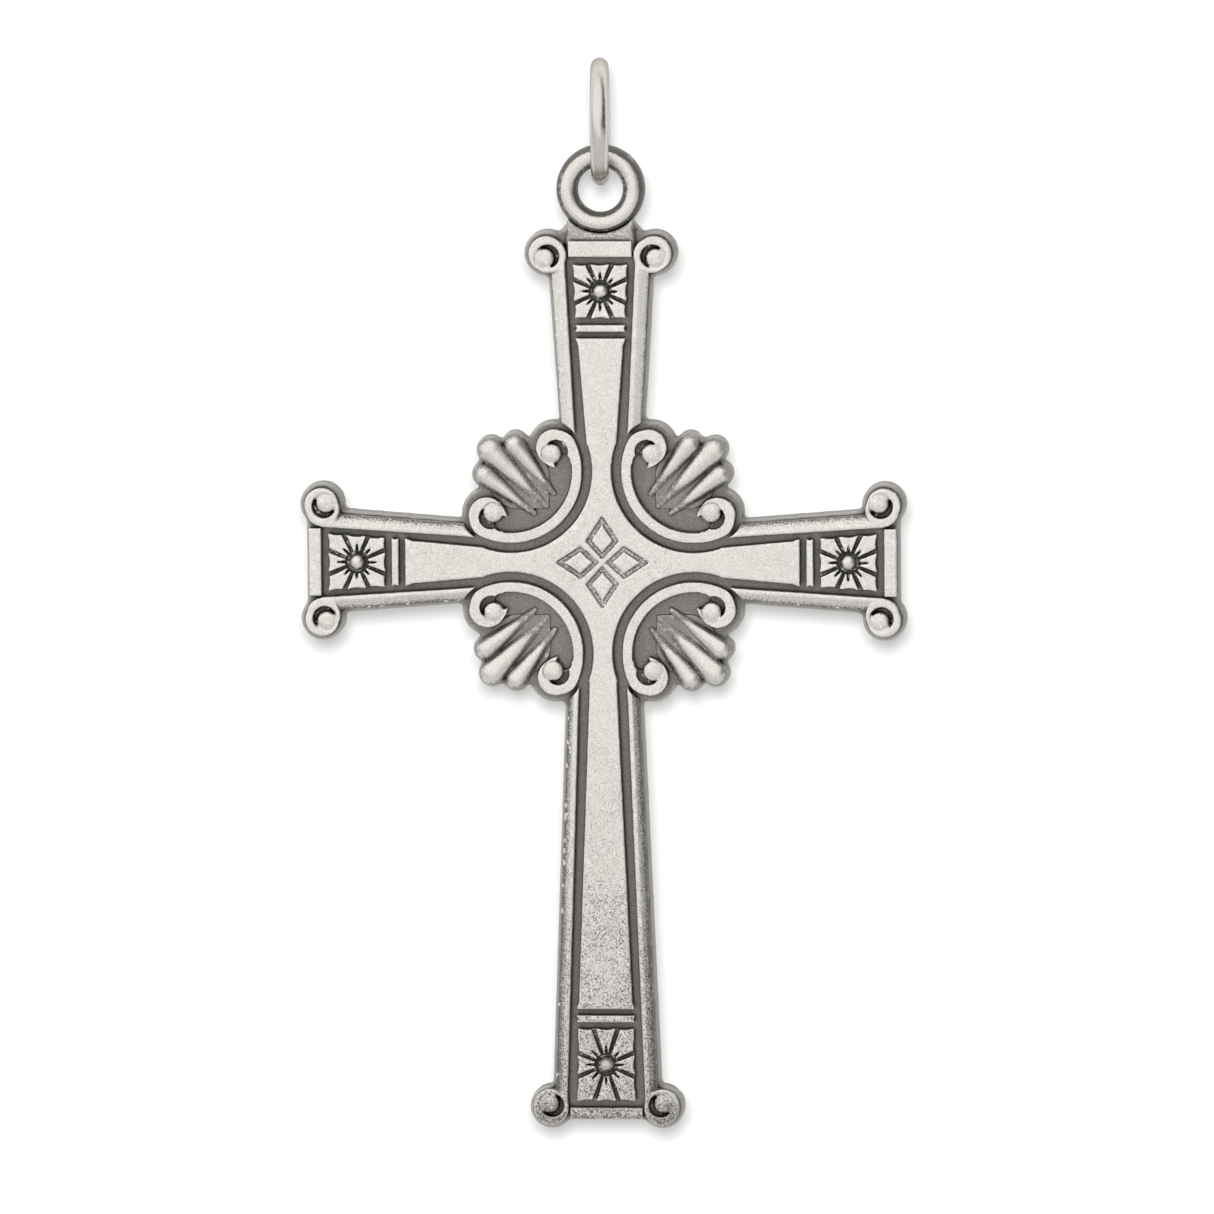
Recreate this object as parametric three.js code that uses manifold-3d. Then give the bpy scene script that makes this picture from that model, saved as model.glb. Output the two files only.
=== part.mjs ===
// Silver cross pendant on a jump ring.
//
// Units are millimetres, +Z is up, the decorated face looks towards -Y and the arms lie along X.
// The origin is the chain's seat: the lowest point of a chain lying in the top of the jump ring.
//
// Relief pieces are drawn flat, with x to the right, y up and z towards the viewer, from the point
// where the shaft and the arms cross. The relief group then stands the drawing upright.

import * as THREE from 'three';
import { mergeVertices } from 'three/addons/utils/BufferGeometryUtils.js';
import Module from 'manifold-3d';

const wasm = await Module();
wasm.setup();

// ---- driving dimensions -------------------------------------------------------------------------

const wireRadius = 0.55;            // jump ring wire, 1.1 mm thick
const ringRadius = 3.35;            // jump ring, to the middle of its wire
const ringTurn = 4;                 // degrees that the loose ring is turned in the eyelet

const eyeletCentre = 22.9;          // height of the eyelet above the crossing
const eyeletRadius = 2.04;          // eyelet, to the middle of its bar
const eyeletBar = 0.66;             // half the thickness of the eyelet's bar
const eyeletOuter = 2.72;           // outer edge of the eyelet's back flange
const ringClearance = 0.03;         // between the eyelet's bar and the ring that carries it

const plateBack = -1.05;            // back of the plate, measured towards the viewer
const plateFront = 0.25;            // ground of the relief
const railTop = 0.95;               // face of the rails, scrolls and crescents
const fieldTop = 0.88;              // face of the centre field, tiles and bars
const tongueTop = 0.5;              // face of the tongue that carries the eyelet
const lozengeDepth = 0.22;
const rayDepth = 0.32;
const dishDepth = 0.4;
const sinkDepth = 0.45;
const shellFloor = 0.12;            // thickness of the floor under a shell's ribs
const edgeBevel = 0.1;              // worn edge round every raised piece
const collarBevel = 0.07;
const seamGap = 0.02;               // between the plate's face and the foot of a raised piece

const grooveWidth = 0.4;            // dark channel between the pieces along an arm
const collarWidth = 0.42;
const rayOffset = 0.75;             // where a rosette's rays leave the tile, from its middle lines
const dartReach = 1.18;
const dishRadius = 0.66;
const bossRadius = 0.46;
const armRoot = 8;                  // where the plate's straight root meets its taper
const railFoot = 7.4;
const railMitre = [3.0, 7.0, 1.65]; // x, y and radius of the hollow where a rail meets a crescent

const crescentCentre = 5.62;        // both coordinates of the centre of a corner crescent
const crescentOuter = 4.42;
const crescentInner = 3.8;
const fieldCornerRadius = 5.02;     // hollow corner of the centre field
const crescentOpen = 158;           // degrees, where the band starts and ends round its centre
const crescentClose = 292;
const crescentHeads = [[2.9, 7.09, 1.11], [2.66, 6.98, 1.16]];  // discs at a band's end, as x, y and radius
const crescentEye = [3.06, 6.7, 0.6];
const crescentSink = [2.7, 6.87, 0.74];
const crescentMouth = [2.42, 6.2, 0.5];                         // where the sink opens towards the shell
const scrollSeatRadius = 1.2;
const shellRibs = [                 // tip, round end and radius
  [[2.98, 4.15], [5.3, 7.15], 0.5],
  [[3.42, 3.42], [6.8, 6.8], 0.66],
  [[4.15, 2.98], [7.15, 5.3], 0.5],
];
const plateLobes = [                // x, y and radius, under the crescent's scrolls and the ribs
  [3.0, 7.1, 1.58], [7.1, 3.0, 1.58], [5.4, 7.25, 0.8], [7.25, 5.4, 0.8], [6.9, 6.9, 0.85],
];

// One entry per arm, each drawn pointing up. Widths are half-widths, as [at, value] pairs along the arm.
const arms = [
  {
    name: 'top', turn: 0, kink: 7.4, fieldEnd: 13.8, fieldHalf: 1.43, tileEnd: 18.35,
    tileHalf: [1.55, 1.72], barEnd: 19.78, plateEnd: 20.05,
    railInner: [[9, 1.66], [17.5, 2.1]], railOuter: [[9, 2.47], [17.5, 2.98]],
    plateHalf: [[9, 2.64], [17.5, 3.2]],
    scroll: [3.3, 19.0], scrollRadius: 1.08, scrollReach: 2.06, rimRadius: 1.4,
  },
  {
    name: 'right', turn: -90, kink: 7.4, fieldEnd: 12.15, fieldHalf: 1.37, tileEnd: 16.87,
    tileHalf: [1.5, 1.78], barEnd: 18.08, plateEnd: 18.25,
    railInner: [[9, 1.62], [17, 2.15]], railOuter: [[9, 2.42], [17, 3.02]],
    plateHalf: [[9, 2.62], [17, 3.26]],
    scroll: [3.53, 17.3], scrollRadius: 1.03, scrollReach: 2.2, rimRadius: 1.35,
  },
  {
    name: 'bottom', turn: 180, kink: 7.1, fieldEnd: 27.65, fieldHalf: 1.68, tileEnd: 33.35,
    tileHalf: [1.73, 1.8], barEnd: 34.5, plateEnd: 34.62,
    railInner: [[9, 1.52], [33, 2.38]], railOuter: [[9, 2.2], [33, 3.17]],
    plateHalf: [[9, 2.38], [33, 3.36]],
    scroll: [3.42, 33.8], scrollRadius: 1.08, scrollReach: 2.34, rimRadius: 1.34,
  },
  {
    name: 'left', turn: 90, kink: 7.4, fieldEnd: 12.15, fieldHalf: 1.37, tileEnd: 16.87,
    tileHalf: [1.5, 1.78], barEnd: 18.08, plateEnd: 18.25,
    railInner: [[9, 1.62], [17, 2.15]], railOuter: [[9, 2.42], [17, 3.02]],
    plateHalf: [[9, 2.62], [17, 3.26]],
    scroll: [3.53, 17.3], scrollRadius: 1.03, scrollReach: 2.2, rimRadius: 1.35,
  },
];

const reliefBase = plateFront + seamGap;
const pivotHeight = eyeletCentre + eyeletRadius;
const ringCentre = pivotHeight + ringRadius - wireRadius - eyeletBar - ringClearance;
const seatHeight = ringCentre + ringRadius - wireRadius;

// ---- solids -------------------------------------------------------------------------------------

function toSolid(geometry) {
  const bare = new THREE.BufferGeometry();
  bare.setAttribute('position', geometry.getAttribute('position'));
  if (geometry.index) bare.setIndex(geometry.index);
  const merged = mergeVertices(bare, 1e-5);
  return new wasm.Manifold(new wasm.Mesh({
    numProp: 3,
    vertProperties: merged.getAttribute('position').array,
    triVerts: Uint32Array.from(merged.index.array),
  }));
}

function toGeometry(solid) {
  const mesh = solid.getMesh();
  const geometry = new THREE.BufferGeometry();
  geometry.setAttribute('position', new THREE.BufferAttribute(mesh.vertProperties, 3));
  geometry.setIndex(new THREE.BufferAttribute(mesh.triVerts, 1));
  geometry.computeVertexNormals();
  return geometry;
}

function outline(points) {
  return new THREE.Shape(points.map(([x, y]) => new THREE.Vector2(x, y)));
}

function disc(x, y, radius) {
  const shape = new THREE.Shape();
  shape.absarc(x, y, radius, 0, 2 * Math.PI);
  return shape;
}

// A flat piece between two heights, with straight sides.
function slab(shape, from, to, curveSegments = 12) {
  const geometry = new THREE.ExtrudeGeometry(shape, { depth: to - from, bevelEnabled: false, curveSegments });
  geometry.translate(0, 0, from);
  return toSolid(geometry);
}

const belowRelief = new THREE.BoxGeometry(80, 80, 2);
belowRelief.translate(0, 0, reliefBase - 1);
const reliefCutter = toSolid(belowRelief);

// A raised piece standing on the plate, bevelled round its face.
function raised(shape, top, curveSegments = 12, bevel = edgeBevel) {
  const geometry = new THREE.ExtrudeGeometry(shape, {
    depth: top - reliefBase,
    bevelThickness: bevel,
    bevelSize: bevel,
    bevelOffset: -bevel,
    bevelSegments: 1,
    curveSegments,
  });
  geometry.translate(0, 0, reliefBase - bevel);
  return toSolid(geometry).subtract(reliefCutter);
}

function join(solids) {
  return solids.reduce((whole, solid) => whole.add(solid));
}

// Value at a place along an arm, on the straight line through two [place, value] pairs.
function along([[start, first], [end, last]], place) {
  return first + (last - first) * (place - start) / (end - start);
}

// ---- materials ----------------------------------------------------------------------------------

function silver(color, roughness) {
  return new THREE.MeshStandardMaterial({ color, roughness, metalness: 0.9 });
}

const finishes = {
  ground: () => silver(0x77736d, 0.6),
  relief: () => silver(0xd6d2ca, 0.42),
  polished: () => silver(0xe0dcd4, 0.25),
};

function piece(name, solid, finish) {
  const mesh = new THREE.Mesh(toGeometry(solid), finishes[finish]());
  mesh.name = name;
  return mesh;
}

// ---- backing plate ------------------------------------------------------------------------------

// The plate under one arm: a tapered strip with a round lobe under each scroll.
function plateArm(arm) {
  const rootHalf = along(arm.plateHalf, armRoot);
  const endHalf = along(arm.plateHalf, arm.plateEnd);
  const strip = outline([[-rootHalf, 0], [rootHalf, 0], [rootHalf, armRoot], [endHalf, arm.plateEnd],
    [-endHalf, arm.plateEnd], [-rootHalf, armRoot]]);
  const [x, y] = arm.scroll;
  const lobes = [-x, x].map((side) => slab(disc(side, y, arm.rimRadius), plateBack, plateFront, 11));
  return join([slab(strip, plateBack, plateFront), ...lobes]).rotate([0, 0, arm.turn]);
}

// The plate in one corner: a web with lobes under the crescent's scrolls and the shell's ribs.
function plateCorner(turn) {
  const web = outline([[0, 0], [2.6, 8.6], [4.5, 7.72], [6.25, 7.5], [7.5, 6.25], [7.72, 4.5], [8.6, 2.6]]);
  const lobes = plateLobes.map((lobe) => slab(disc(...lobe), plateBack, plateFront, 8));
  return join([slab(web, plateBack, plateFront), ...lobes]).rotate([0, 0, turn]);
}

// The tongue that the eyelet is soldered to, with flared sides and a seat hollowed to the eyelet.
function tongue(topArm) {
  const foot = topArm.plateEnd;
  const top = foot + 1.2;
  const [footHalf, waistHalf, topHalf] = [2.9, 2.25, 2.05];
  const shape = new THREE.Shape();
  shape.moveTo(-footHalf, foot - 1);
  shape.lineTo(footHalf, foot - 1);
  shape.lineTo(footHalf, foot + 0.15);
  shape.quadraticCurveTo(waistHalf, foot + 0.35, topHalf, top);
  shape.lineTo(-topHalf, top);
  shape.quadraticCurveTo(-waistHalf, foot + 0.35, -footHalf, foot + 0.15);
  const seat = slab(disc(0, eyeletCentre, eyeletOuter + seamGap), plateBack - 1, tongueTop + 1, 24);
  const low = slab(shape, plateBack, plateFront, 4);
  const face = outline([[-waistHalf, foot], [waistHalf, foot], [topHalf, top], [-topHalf, top]]);
  return low.add(slab(face, 0, tongueTop)).subtract(seat);
}

function backPlate() {
  const corners = [0, 90, 180, 270].map(plateCorner);
  return join([...arms.map(plateArm), ...corners, tongue(arms[0])]);
}

// ---- centre field -------------------------------------------------------------------------------

function fieldEdge(height) {
  const rise = height - crescentCentre;
  return crescentCentre - Math.sqrt(fieldCornerRadius ** 2 - rise ** 2);
}

// Four tapering arms that run together in hollow corners.
function fieldShape() {
  const shape = new THREE.Shape();
  arms.forEach((arm, index) => {
    const angle = THREE.MathUtils.degToRad(arm.turn);
    const [cos, sin] = [Math.cos(angle), Math.sin(angle)];
    const put = (x, y) => [x * cos - y * sin, x * sin + y * cos];
    const kinkHalf = fieldEdge(arm.kink);
    const next = arms[(index + 1) % arms.length];
    const first = put(-kinkHalf, arm.kink);
    if (index === 0) shape.moveTo(...first);
    shape.lineTo(...put(-arm.fieldHalf, arm.fieldEnd));
    shape.lineTo(...put(arm.fieldHalf, arm.fieldEnd));
    shape.lineTo(...put(kinkHalf, arm.kink));
    const start = Math.atan2(arm.kink - crescentCentre, kinkHalf - crescentCentre);
    const end = Math.atan2(fieldEdge(next.kink) - crescentCentre, next.kink - crescentCentre);
    const centre = put(crescentCentre, crescentCentre);
    shape.absarc(...centre, fieldCornerRadius, start + angle, end + angle, false);
  });
  return shape;
}

// One engraved lozenge: a narrow groove round a diamond that is left standing.
function lozengeGroove(turn) {
  const groove = outline([[0, 0.22], [1.0, 1.32], [0, 2.85], [-1.0, 1.32]]);
  groove.holes.push(outline([[0, 0.58], [-0.7, 1.34], [0, 2.38], [0.7, 1.34]]));
  return slab(groove, fieldTop - lozengeDepth, fieldTop + 1).rotate([0, 0, turn]);
}

function fieldCross() {
  const cross = raised(fieldShape(), fieldTop, 12);
  return [0, 90, 180, 270].map(lozengeGroove).reduce((whole, groove) => whole.subtract(groove), cross);
}

// ---- pieces along an arm ------------------------------------------------------------------------

function collarBar(arm) {
  const foot = arm.fieldEnd + grooveWidth;
  const half = arm.fieldHalf + 0.08;
  const end = foot + collarWidth;
  const bar = outline([[-half, foot], [half, foot], [half, end], [-half, end]]);
  return raised(bar, fieldTop, 4, collarBevel);
}

function tileStart(arm) {
  return arm.fieldEnd + 2 * grooveWidth + collarWidth;
}

function rosetteCentre(arm) {
  return (tileStart(arm) + arm.tileEnd) / 2;
}

// A wedge-shaped cut from near the middle of a tile towards a point.
function cutTowards(x, y, reach, startHalf, endHalf) {
  const length = Math.hypot(x, y);
  const end = length * reach;
  const angle = Math.atan2(y, x) * 180 / Math.PI;
  const cut = outline([[0.3, -startHalf], [end, -endHalf], [end, endHalf], [0.3, startHalf]]);
  return slab(cut, fieldTop - rayDepth, fieldTop + 1).rotate([0, 0, angle]);
}

// A tile engraved with eight long rays, eight short darts and a dished middle for the boss.
function rosetteTile(arm) {
  const foot = tileStart(arm);
  const halfHeight = (arm.tileEnd - foot) / 2;
  const [near, far] = arm.tileHalf;
  const shape = outline([[-near, foot], [near, foot], [far, arm.tileEnd], [-far, arm.tileEnd]]);
  const tile = raised(shape, fieldTop);
  const middleHalf = (near + far) / 2;
  const cuts = [slab(disc(0, 0, dishRadius), fieldTop - dishDepth, fieldTop + 1, 10)];
  for (const side of [-1, 1]) {
    for (const offset of [-rayOffset, rayOffset]) {
      cuts.push(cutTowards(offset, side * halfHeight, 1.2, 0.09, 0.2));
      cuts.push(cutTowards(side * middleHalf, offset, 1.2, 0.09, 0.2));
    }
  }
  for (let index = 0; index < 8; index += 1) {
    const angle = index * Math.PI / 4;
    cuts.push(cutTowards(dartReach * Math.cos(angle), dartReach * Math.sin(angle), 1, 0.14, 0.02));
  }
  const engraving = join(cuts).translate([0, rosetteCentre(arm), 0]);
  return tile.subtract(engraving);
}

// A small domed boss that stands in the dish of a tile.
function rosetteBoss(arm) {
  const foot = fieldTop - dishDepth + seamGap;
  const rise = 0.18;
  const profile = [[0, foot], [bossRadius, foot]];
  for (let step = 0; step <= 4; step += 1) {
    const angle = step * Math.PI / 8;
    profile.push([bossRadius * Math.cos(angle), fieldTop - 0.12 + rise * Math.sin(angle)]);
  }
  profile[profile.length - 1][0] = 0;
  const geometry = new THREE.LatheGeometry(profile.map(([x, y]) => new THREE.Vector2(x, y)), 12);
  geometry.rotateX(Math.PI / 2);
  geometry.translate(0, rosetteCentre(arm), 0);
  return toSolid(geometry);
}

function endBar(arm) {
  const foot = arm.tileEnd + grooveWidth + 0.04;
  const half = arm.scrollReach - 0.1;
  const bar = outline([[-half, foot], [half, foot], [half, arm.barEnd], [-half, arm.barEnd]]);
  return raised(bar, fieldTop, 4);
}

// A crescent-shaped sink between a scroll's band and its eye, towards -x on a right-hand scroll.
function scrollSink(x, y, radius, eyeX, eyeY, eyeRadius) {
  const sink = slab(disc(x, y, radius), railTop - sinkDepth, railTop + 1, 9);
  return sink.subtract(slab(disc(eyeX, eyeY, eyeRadius), railTop - 1, railTop + 2, 9));
}

// A rail along the right-hand edge of an arm, rolled outwards into a scroll at its end.
function scrollRail(arm) {
  const [x, y] = arm.scroll;
  const radius = arm.scrollRadius;
  const foot = railFoot;
  const innerFoot = along(arm.railInner, foot);
  const outerFoot = along(arm.railOuter, foot);
  const innerEnd = along(arm.railInner, y);
  const outerEnd = along(arm.railOuter, y);
  const edges = outline([[innerFoot, foot], [outerFoot, foot], [outerEnd, y], [innerEnd, y]]);
  const strip = raised(edges, railTop);
  const curl = raised(disc(x, y, radius), railTop, 10);
  const reach = raised(disc(arm.scrollReach + radius, y - 0.1, radius), railTop, 10);
  const mitre = slab(disc(...railMitre), plateFront - 1, railTop + 1, 10);
  const sink = scrollSink(x - 0.12, y - 0.18, 0.76, x + 0.18, y - 0.3, 0.57);
  return join([strip, curl, reach]).subtract(mitre).subtract(sink);
}

// ---- corner pieces ------------------------------------------------------------------------------

// A crescent band round a corner, rolled into a scroll at both ends. Drawn in the upper right corner.
function crescentScroll() {
  const centre = crescentCentre;
  const open = THREE.MathUtils.degToRad(crescentOpen);
  const close = THREE.MathUtils.degToRad(crescentClose);
  const band = new THREE.Shape();
  band.absarc(centre, centre, crescentOuter, open, close, false);
  band.absarc(centre, centre, crescentInner, close, open, true);
  const solids = [raised(band, railTop, 14)];
  const sinks = [];
  for (const swap of [false, true]) {
    const placed = ([x, y, radius]) => (swap ? [y, x, radius] : [x, y, radius]);
    const eye = placed(crescentEye);
    crescentHeads.forEach((head) => solids.push(raised(disc(...placed(head)), railTop, 9)));
    sinks.push(scrollSink(...placed(crescentSink), ...eye));
    sinks.push(slab(disc(...placed(crescentMouth)), reliefBase - 1, railTop + 1, 8)
      .subtract(slab(disc(...eye), reliefBase - 2, railTop + 2, 9)));
  }
  return join(solids).subtract(join(sinks));
}

// One domed rib from its narrow tip to its round end.
function shellRib(tip, end, radius) {
  const length = Math.hypot(end[0] - tip[0], end[1] - tip[1]);
  const angle = Math.atan2(end[1] - tip[1], end[0] - tip[0]);
  const height = railTop - 2 * seamGap - reliefBase;
  const head = new THREE.SphereGeometry(radius, 12, 8);
  head.rotateX(Math.PI / 2);
  head.translate(length, 0, 0);
  const tail = new THREE.ConeGeometry(radius, length, 12);
  tail.rotateZ(Math.PI / 2);
  tail.translate(length / 2, 0, 0);
  return join([toSolid(head), toSolid(tail)])
    .scale([1, 1, height / radius])
    .rotate([0, 0, angle * 180 / Math.PI])
    .translate([tip[0], tip[1], reliefBase])
    .subtract(reliefCutter);
}

// Three ribs fanning out of the crescent on a thin floor.
function shell() {
  const floor = outline([
    [3.3, 3.3], [3.3, 4.6], [4.75, 6.9], [6.4, 7.3], [7.3, 6.4], [6.9, 4.75], [4.6, 3.3],
  ]);
  const [x, y] = crescentHeads[0];
  const scrollSeat = (...middle) => slab(disc(...middle, scrollSeatRadius), reliefBase - 1, railTop + 1, 12);
  return join([slab(floor, reliefBase, reliefBase + shellFloor), ...shellRibs.map((rib) => shellRib(...rib))])
    .subtract(scrollSeat(x, y))
    .subtract(scrollSeat(y, x));
}

// ---- eyelet and jump ring -----------------------------------------------------------------------

// The eyelet's bar is half round towards the hole and the face, with a thin flange behind.
function eyelet() {
  const profile = [];
  for (let step = 0; step <= 6; step += 1) {
    const angle = Math.PI / 2 + step * Math.PI / 6;
    profile.push([eyeletRadius + eyeletBar * Math.cos(angle), eyeletBar * Math.sin(angle)]);
  }
  const shoulder = eyeletOuter - 0.14;
  profile.push([shoulder, -0.62], [eyeletOuter, -0.5], [eyeletOuter, -0.1], [shoulder, 0.3], [2.36, 0.57]);
  profile.push(profile[0]);
  const geometry = new THREE.LatheGeometry(profile.map(([x, y]) => new THREE.Vector2(x, y)), 36);
  geometry.rotateX(Math.PI / 2);
  geometry.translate(0, eyeletCentre, 0);
  return toSolid(geometry);
}

function jumpRing() {
  const geometry = new THREE.TorusGeometry(ringRadius, wireRadius, 12, 40);
  geometry.rotateY(Math.PI / 2);
  return toSolid(geometry);
}

// ---- assembly -----------------------------------------------------------------------------------

const relief = new THREE.Group();
relief.rotation.x = Math.PI / 2;
relief.position.z = -seatHeight;

relief.add(piece('back_plate', backPlate(), 'ground'));
relief.add(piece('field_cross', fieldCross(), 'relief'));

for (const arm of arms) {
  const group = new THREE.Group();
  group.rotation.z = THREE.MathUtils.degToRad(arm.turn);
  group.add(piece(`collar_bar_${arm.name}`, collarBar(arm), 'relief'));
  group.add(piece(`rosette_tile_${arm.name}`, rosetteTile(arm), 'relief'));
  group.add(piece(`rosette_boss_${arm.name}`, rosetteBoss(arm), 'polished'));
  group.add(piece(`end_bar_${arm.name}`, endBar(arm), 'relief'));
  const rail = scrollRail(arm);
  group.add(piece(`scroll_rail_${arm.name}_a`, rail.mirror([1, 0, 0]), 'relief'));
  group.add(piece(`scroll_rail_${arm.name}_b`, rail, 'relief'));
  relief.add(group);
}

['upper_right', 'upper_left', 'lower_left', 'lower_right'].forEach((corner, index) => {
  const group = new THREE.Group();
  group.rotation.z = index * Math.PI / 2;
  group.add(piece(`crescent_scroll_${corner}`, crescentScroll(), 'relief'));
  group.add(piece(`shell_${corner}`, shell(), 'relief'));
  relief.add(group);
});

relief.add(piece('eyelet', eyelet(), 'polished'));

const ring = piece('jump_ring', jumpRing(), 'polished');
ring.position.z = ringCentre - seatHeight;
ring.rotation.z = THREE.MathUtils.degToRad(ringTurn);

const pendant = new THREE.Group();
pendant.add(relief, ring);

export default pendant;
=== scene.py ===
"""Antiqued silver cross pendant on a jump ring, in a plain pale studio."""
import math

import bpy
from mathutils import Matrix, Vector


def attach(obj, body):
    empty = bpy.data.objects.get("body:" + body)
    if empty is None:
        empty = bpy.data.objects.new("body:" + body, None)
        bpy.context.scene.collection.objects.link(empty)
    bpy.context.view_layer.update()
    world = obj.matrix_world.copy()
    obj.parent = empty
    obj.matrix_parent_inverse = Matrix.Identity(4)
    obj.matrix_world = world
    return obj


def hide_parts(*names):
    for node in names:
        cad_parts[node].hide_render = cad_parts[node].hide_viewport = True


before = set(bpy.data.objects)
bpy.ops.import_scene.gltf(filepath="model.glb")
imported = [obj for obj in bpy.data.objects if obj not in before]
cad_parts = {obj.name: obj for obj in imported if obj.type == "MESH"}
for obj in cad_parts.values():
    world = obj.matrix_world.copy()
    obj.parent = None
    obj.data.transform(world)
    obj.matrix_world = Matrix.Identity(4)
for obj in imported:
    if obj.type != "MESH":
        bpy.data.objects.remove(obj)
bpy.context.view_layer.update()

# ---- driving dimensions, in millimetres -----------------------------------------------------------------
# Every silver piece is modelled lying flat, with x to the right, y up and z towards the viewer, from the
# point where the shaft and the arms cross. stand_up() brings it upright into the frame.

MM = 0.001
PLATE_BACK = -1.05
PLATE_FACE = 0.25           # ground of the relief
SEAM = 0.27                 # foot of every raised piece
RAIL_TOP = 0.95
FIELD_TOP = 0.88
TONGUE_TOP = 0.5
SHELL_FLOOR = 0.08          # thickness of the floor under a shell's ribs
LOZENGE_DEPTH = 0.16
RAY_DEPTH = 0.24
DART_DEPTH = 0.25
DISH_DEPTH = 0.36
SINK_DEPTH = 0.5            # the sink between a scroll's band and its eye

CHANNEL = 0.4               # dark channel between the pieces along an arm
COLLAR = 0.42
RAY_OFFSET = 0.75           # where a rosette's rays leave the tile, from its middle lines
DART_REACH = 1.3
DISH_RADIUS = 0.7
BOSS_RADIUS = 0.53
SCALLOP = 1.5               # radius of the hollows along a tile's edges
SCALLOP_BITE = 0.07
ARM_ROOT = 8                # where the plate's straight root meets its taper
RAIL_FOOT = 7.4
RAIL_CROWN = 0.28           # width of the flat strip along a rail's inner edge
RAIL_MITRE = (3.0, 7.0, 1.65)   # hollow where a rail meets a crescent, as x, y and radius
RAIL_SINK = (-0.08, -0.16, 0.72)    # from the middle of a rail's scroll
RAIL_EYE = (0.13, -0.3, 0.62)

CORNER = 5.62               # both coordinates of the centre of a corner crescent
CRESCENT_OUTER = 4.42
CRESCENT_INNER = 3.8
FIELD_CORNER = 5.02         # radius of the field's hollow corners
CRESCENT_HEADS = ((2.9, 7.09, 1.11), (2.66, 6.98, 1.16))
CRESCENT_EYE = (3.08, 6.7, 0.62)
CRESCENT_SINK = (2.78, 6.84, 0.72)
CRESCENT_MOUTH = (2.42, 6.2, 0.5)   # where the sink opens towards the shell
SCROLL_SEAT = (2.9, 7.09, 1.16)     # hollow in the shell round a crescent's scroll
EYE_DROP = 0.17             # how far the foot of a scroll's domed eye lies below its band
SHELL_RIBS = (              # tip, round end and radius
    ((2.9, 4.1), (5.37, 7.24), 0.67),
    ((3.36, 3.36), (6.87, 6.87), 0.79),
    ((4.1, 2.9), (7.24, 5.37), 0.67),
)
PLATE_LOBES = (             # under the crescent's scrolls and the shell's ribs
    (3.0, 7.1, 1.58), (7.1, 3.0, 1.58), (5.4, 7.25, 0.8), (7.25, 5.4, 0.8), (6.9, 6.9, 0.85),
)

EYELET_HEIGHT = 22.9
EYELET_RADIUS = 2.04
EYELET_BAR = 0.66
EYELET_RIM = 2.72
RING_RADIUS = 3.35
WIRE_RADIUS = 0.55
RING_HEIGHT = 27.05
SEAT_HEIGHT = RING_HEIGHT + RING_RADIUS - WIRE_RADIUS
RING_TURN = 4               # degrees that the loose ring is turned in the eyelet

FINE = 0.05                 # voxel sizes of the cast skins
MEDIUM = 0.06
BROAD = 0.07
COARSE = 0.13

# Widths along an arm are half-widths, as (place, value) pairs. A scroll is given by its middle, a rail's drop
# is how far its outer edge lies below its crown, and the rim is the plate's, round a scroll.
ARMS = {
    "top": {
        "turns": {"top": 0}, "kink": 7.4, "field_end": 13.8, "field_half": 1.43, "tile_end": 18.35,
        "tile_half": (1.55, 1.72), "bar_end": 19.78, "plate_end": 20.05,
        "rail_inner": ((9, 1.66), (17.5, 2.1)), "rail_outer": ((9, 2.47), (17.5, 2.98)),
        "plate_half": ((9, 2.64), (17.5, 3.2)), "rail_drop": 0.17,
        "scroll": (3.3, 19.0), "scroll_radius": 1.08, "scroll_reach": 2.06, "rim": 1.4,
    },
    "side": {
        "turns": {"right": -90, "left": 90}, "kink": 7.4, "field_end": 12.15, "field_half": 1.37,
        "tile_end": 16.87, "tile_half": (1.5, 1.78), "bar_end": 18.08, "plate_end": 18.25,
        "rail_inner": ((9, 1.62), (17, 2.15)), "rail_outer": ((9, 2.42), (17, 3.02)),
        "plate_half": ((9, 2.62), (17, 3.26)), "rail_drop": 0.3,
        "scroll": (3.53, 17.3), "scroll_radius": 1.03, "scroll_reach": 2.2, "rim": 1.35,
    },
    "bottom": {
        "turns": {"bottom": 180}, "kink": 7.1, "field_end": 27.65, "field_half": 1.68,
        "tile_end": 33.35, "tile_half": (1.73, 1.8), "bar_end": 34.5, "plate_end": 34.62,
        "rail_inner": ((9, 1.52), (33, 2.38)), "rail_outer": ((9, 2.2), (33, 3.17)),
        "plate_half": ((9, 2.38), (33, 3.36)), "rail_drop": 0.34,
        "scroll": (3.42, 33.8), "scroll_radius": 1.08, "scroll_reach": 2.34, "rim": 1.34,
    },
}
CORNERS = {"upper_right": 0, "upper_left": 90, "lower_left": 180, "lower_right": 270}

LAMP_POWER = 27             # watts


def along(line, place):
    """Value at a place along an arm, on the straight line through two (place, value) pairs."""
    (start, first), (end, last) = line
    return first + (last - first) * (place - start) / (end - start)


# ---- camera ---------------------------------------------------------------------------------------------

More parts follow.
